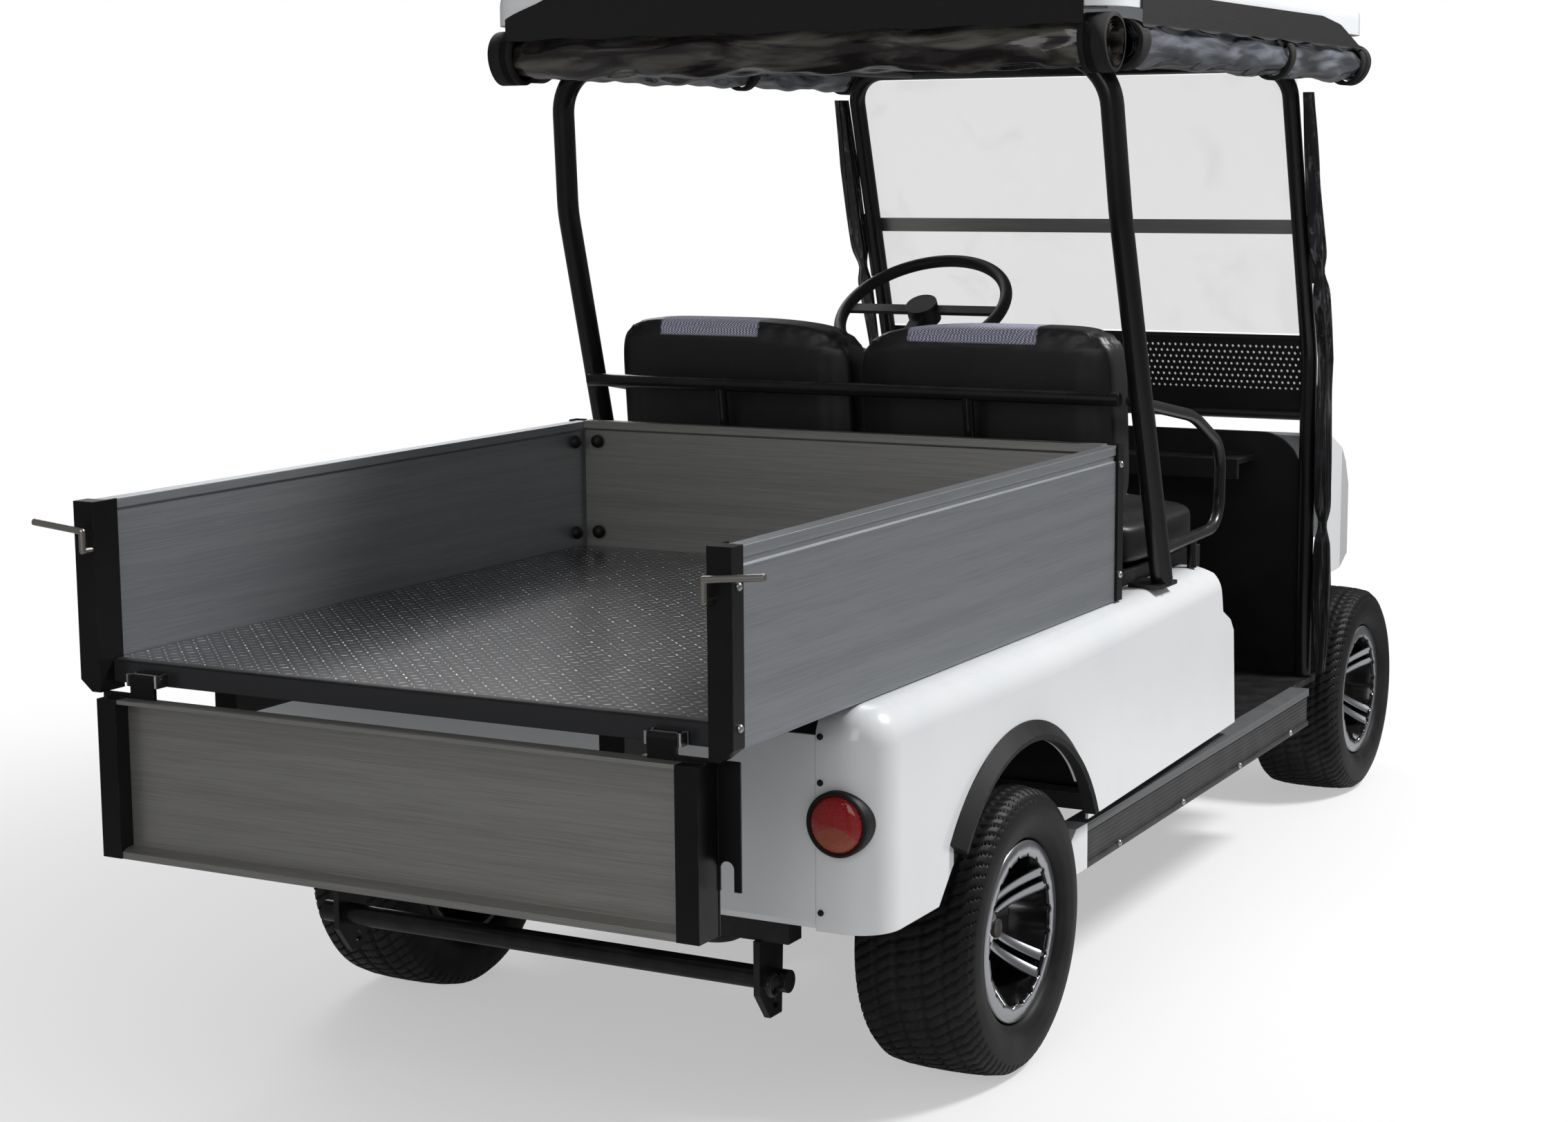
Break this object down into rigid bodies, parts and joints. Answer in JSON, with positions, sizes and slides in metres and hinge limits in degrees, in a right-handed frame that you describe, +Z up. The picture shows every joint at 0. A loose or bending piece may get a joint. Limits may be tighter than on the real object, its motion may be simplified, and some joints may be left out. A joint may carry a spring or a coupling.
{
  "type": "electric utility cart",
  "caption": "Small electric two-seat utility cart with a white canopy, rolled clear curtains and an open aluminium cargo box with a drop tailgate.",
  "frame": {"origin": "on the ground under the middle of the cart's overall length and width", "axes": "+Y towards the front of the cart, +X towards its right side, +Z up"},
  "size_m": [1.246, 3.338, 1.752],
  "materials": {
    "tyre": "matt black rubber",
    "rim_alloy": "machined silver spokes on gloss black",
    "frame_black": "satin black powder coat",
    "steel_dark": "dark cast and forged steel",
    "leaf_steel": "dark spring steel",
    "body_white": "gloss white",
    "black_plastic": "grained black",
    "black_rubber": "matt black",
    "sill_rubber": "ribbed dark rubber",
    "alu_box": "brushed, anodised",
    "alu_floor": "bright tread plate",
    "post_black": "gloss black",
    "rod_black": "satin black",
    "glass_clear": "clear",
    "curtain_clear": "clear flexible sheet, rolled",
    "curtain_black": "black cloth and dark clear sheet",
    "seat_black": "grained black with woven patches",
    "tray_black": "perforated, satin black",
    "lamp_red": "red lens on black housing",
    "lamp_clear": "clear lens",
    "wheel_grip": "smooth black grip"
  },
  "bodies": {
    "cart": {"chassis_frame": "frame_black", "box_bearers": "frame_black", "rear_crossbar": "frame_black", "rear_axle": "steel_dark", "drive_motor": "steel_dark", "rear_spring_left": "leaf_steel", "rear_spring_right": "leaf_steel", "front_axle": "steel_dark", "battery_pack": "black_plastic", "floor_pan": "black_rubber", "sill_left": "sill_rubber", "sill_right": "sill_rubber", "dash_panel": "black_plastic", "pedals": "frame_black", "fender_left": "body_white", "fender_right": "body_white", "rear_panel": "body_white", "arch_flares": "black_rubber", "mudguards": "body_white", "tail_lamps": "lamp_red", "cargo_floor": "alu_floor", "cargo_wall_front": "alu_box", "cargo_wall_left": "alu_box", "cargo_wall_right": "alu_box", "rear_post_left": "post_black", "rear_post_right": "post_black", "corner_strips": "post_black", "latch_rods": "rod_black", "rear_hoop": "frame_black", "front_pillars": "frame_black", "screen_panes": "glass_clear", "screen_bar": "alu_box", "parcel_tray": "tray_black", "roof_canopy": "body_white", "curtain_roll_rear": "curtain_clear", "curtain_roll_left": "curtain_clear", "curtain_roll_right": "curtain_clear", "furled_curtain_left": "curtain_black", "furled_curtain_right": "curtain_black", "seat_base": "black_plastic", "seat_cushion": "seat_black", "seat_backs": "seat_black", "seat_frame": "frame_black", "steering_column": "black_plastic", "front_cowl": "body_white", "front_bumper": "black_plastic", "headlamps": "lamp_clear"},
    "tailgate": {"tailgate_panel": "alu_box", "tailgate_channels": "post_black"},
    "wheel_rear_left": {"tyre_rear_left": "tyre", "rim_rear_left": "rim_alloy"},
    "wheel_rear_right": {"tyre_rear_right": "tyre", "rim_rear_right": "rim_alloy"},
    "knuckle_left": {"knuckle_left": "steel_dark"},
    "knuckle_right": {"knuckle_right": "steel_dark"},
    "wheel_front_left": {"tyre_front_left": "tyre", "rim_front_left": "rim_alloy"},
    "wheel_front_right": {"tyre_front_right": "tyre", "rim_front_right": "rim_alloy"},
    "steering": {"steering_wheel": "wheel_grip"}
  },
  "joints": [
    {"name": "tailgate_hinge", "type": "hinge", "parent": "cart", "child": "tailgate", "pos_m": [0, -1.633, 0.678], "axis": [-1, 0, 0], "range_deg": [0, 180]},
    {"name": "wheel_rear_left_spin", "type": "hinge", "parent": "cart", "child": "wheel_rear_left", "pos_m": [-0.516, -0.835, 0.2295], "axis": [1, 0, 0], "continuous": true},
    {"name": "wheel_rear_right_spin", "type": "hinge", "parent": "cart", "child": "wheel_rear_right", "pos_m": [0.516, -0.835, 0.2295], "axis": [1, 0, 0], "continuous": true},
    {"name": "steer_left", "type": "hinge", "parent": "cart", "child": "knuckle_left", "pos_m": [-0.305, 1.288, 0.2295], "axis": [0, 0, 1], "range_deg": [-25, 25]},
    {"name": "wheel_front_left_spin", "type": "hinge", "parent": "knuckle_left", "child": "wheel_front_left", "pos_m": [-0.432, 1.288, 0.2295], "axis": [1, 0, 0], "continuous": true},
    {"name": "steer_right", "type": "hinge", "parent": "cart", "child": "knuckle_right", "pos_m": [0.305, 1.288, 0.2295], "axis": [0, 0, 1], "range_deg": [-25, 25]},
    {"name": "wheel_front_right_spin", "type": "hinge", "parent": "knuckle_right", "child": "wheel_front_right", "pos_m": [0.432, 1.288, 0.2295], "axis": [1, 0, 0], "continuous": true},
    {"name": "steering_turn", "type": "hinge", "parent": "cart", "child": "steering", "pos_m": [-0.262, 0.635, 1.104], "axis": [0, -0.5299, 0.848], "range_deg": [-300, 300]}
  ],
  "couplings": [
    {"joint": "steer_left", "follows": "steer_right", "ratio": 1},
    {"joint": "steering_turn", "follows": "steer_right", "ratio": 12}
  ]
}
